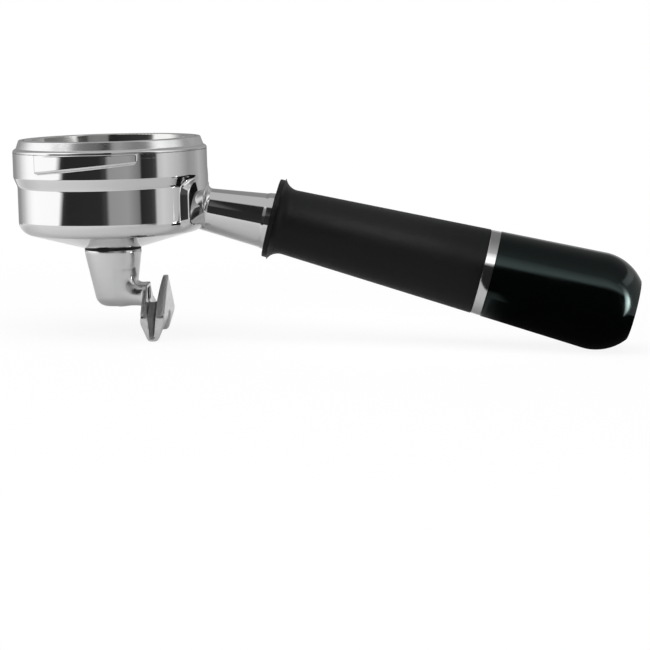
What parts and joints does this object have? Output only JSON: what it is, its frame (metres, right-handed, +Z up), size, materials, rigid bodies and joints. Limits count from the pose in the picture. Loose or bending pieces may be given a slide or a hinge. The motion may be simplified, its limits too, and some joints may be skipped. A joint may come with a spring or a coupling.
{
  "type": "portafilter",
  "caption": "Portafilter of an espresso machine: polished cup with bayonet lugs, lift-out filter basket, screw-on spout with a forked trough, and a dark tapered handle on a drooping neck.",
  "frame": {"origin": "centre of the rim's top face, on the axis of the cup, where the part locks up against its machine", "axes": "+Z up along the axis of the cup, +X towards the end of the handle, +Y completes the right-handed frame"},
  "size_m": [0.2405, 0.0794, 0.0855],
  "materials": {
    "chrome": "polished",
    "steel": "satin",
    "rubber": "matte",
    "grip": "matte",
    "cap": "gloss"
  },
  "bodies": {
    "holder": {"filter_holder": "chrome", "basket_spring": "steel", "grip_sleeve": "grip", "grip_core": "grip", "handle_bolt": "steel", "flat_washer": "steel", "lock_washer": "steel", "trim_ring": "chrome", "end_cap": "cap"},
    "basket": {"filter_basket": "steel"},
    "seal": {"spout_seal": "rubber"},
    "spout": {"twin_spout": "chrome"}
  },
  "joints": [
    {"name": "basket_lift", "type": "slide", "parent": "holder", "child": "basket", "axis": [0, 0, 1], "range_m": [0, 0.045]},
    {"name": "spout_drop", "type": "slide", "parent": "holder", "child": "seal", "axis": [0, 0, 1], "range_m": [-0.00535, 0]},
    {"name": "spout_turn", "type": "hinge", "parent": "seal", "child": "spout", "pos_m": [0, 0, -0.0427], "axis": [0, 0, 1], "range_deg": [-1440, 0]}
  ],
  "couplings": [
    {"joint": "spout_drop", "follows": "spout_turn", "m_per_rad": 0.00021279}
  ]
}
